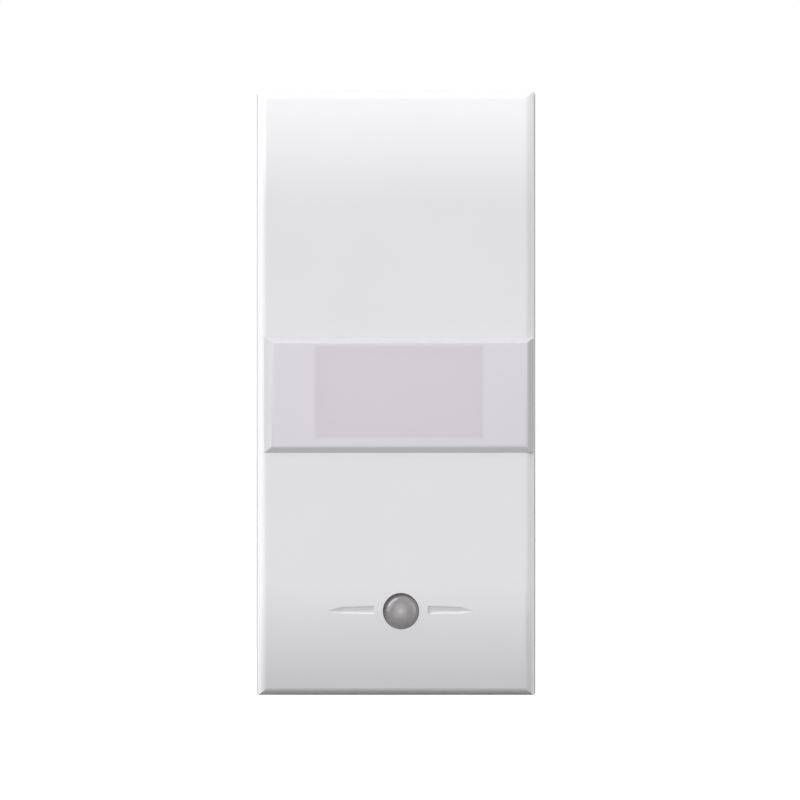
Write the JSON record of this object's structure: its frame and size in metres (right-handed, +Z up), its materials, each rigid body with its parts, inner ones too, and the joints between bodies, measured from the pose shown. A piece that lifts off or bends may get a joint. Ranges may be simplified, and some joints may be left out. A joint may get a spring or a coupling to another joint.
{
  "type": "illuminated push button switch",
  "caption": "One-module illuminated wall push button: rocking white key with clear name window, blank label and smoked indicator lens, snap-in frame, lamp board, contacts and terminals.",
  "frame": {"origin": "middle of the seating plane, the rear face of the frame's flange", "axes": "+Z up along the module's long side, +X to the right seen from the front, the key faces -Y and the case reaches back along +Y"},
  "size_m": [0.0224, 0.0338, 0.0486],
  "materials": {
    "key_white": "gloss moulded",
    "frame_white": "satin moulded",
    "clear_window": "clear polycarbonate, polished",
    "label_card": "blank off-white card",
    "milky_diffuser": "milky opal",
    "smoked_lens": "smoked grey, polished",
    "inner_white": "matt moulded",
    "plunger_cream": "matt moulded",
    "contact_brass": "stamped",
    "clamp_brass": "zinc washed",
    "contact_silver": "silver contact rivet",
    "spring_steel": "drawn wire",
    "screw_steel": "zinc plated",
    "board_green": "solder mask",
    "led_body": "white package",
    "capacitor_box": "potted box",
    "resistor_body": "lacquered",
    "black_moulding": "epoxy moulding",
    "case_grey": "light grey, fine texture"
  },
  "bodies": {
    "housing": {"front_frame": "frame_white", "rear_case": "case_grey", "wire_plate_top": "case_grey", "wire_plate_bottom": "case_grey", "lamp_board": "board_green", "label_led_left": "led_body", "label_led_right": "led_body", "indicator_led": "led_body", "dropper_capacitor": "capacitor_box", "bleed_resistor": "resistor_body", "rectifier": "black_moulding", "fixed_contact_left": "contact_brass", "fixed_contact_right": "contact_brass", "fixed_tip_left": "contact_silver", "fixed_tip_right": "contact_silver", "lamp_contact_left": "contact_brass", "lamp_contact_right": "contact_brass", "return_spring": "spring_steel", "terminal_clamp_1": "clamp_brass", "terminal_clamp_2": "clamp_brass", "terminal_clamp_3": "clamp_brass", "terminal_clamp_4": "clamp_brass", "terminal_screw_1": "screw_steel", "terminal_screw_2": "screw_steel", "terminal_screw_3": "screw_steel", "terminal_screw_4": "screw_steel"},
    "key": {"button_cap": "key_white", "rocker_carrier": "inner_white", "name_card": "label_card", "label_diffuser": "milky_diffuser", "indicator_lens": "smoked_lens"},
    "window": {"name_window": "clear_window"},
    "plunger": {"plunger": "plunger_cream", "moving_bridge": "contact_brass", "moving_tip_left": "contact_silver", "moving_tip_right": "contact_silver", "contact_spring": "spring_steel", "retaining_clip": "spring_steel"}
  },
  "joints": [
    {"name": "key_rock", "type": "hinge", "parent": "housing", "child": "key", "pos_m": [0, -0.004, 0], "axis": [1, 0, 0], "range_deg": [0, 5], "stiffness_Nm_per_rad": 0.45, "springref_deg": -5.73},
    {"name": "window_lift", "type": "slide", "parent": "key", "child": "window", "axis": [0, -1, 0], "range_m": [0, 0.008]},
    {"name": "plunger_slide", "type": "slide", "parent": "housing", "child": "plunger", "axis": [0, 1, 0], "range_m": [0, 0.0012], "deforming": ["return_spring"]}
  ],
  "couplings": [
    {"joint": "plunger_slide", "follows": "key_rock", "m_per_rad": 0.013}
  ]
}
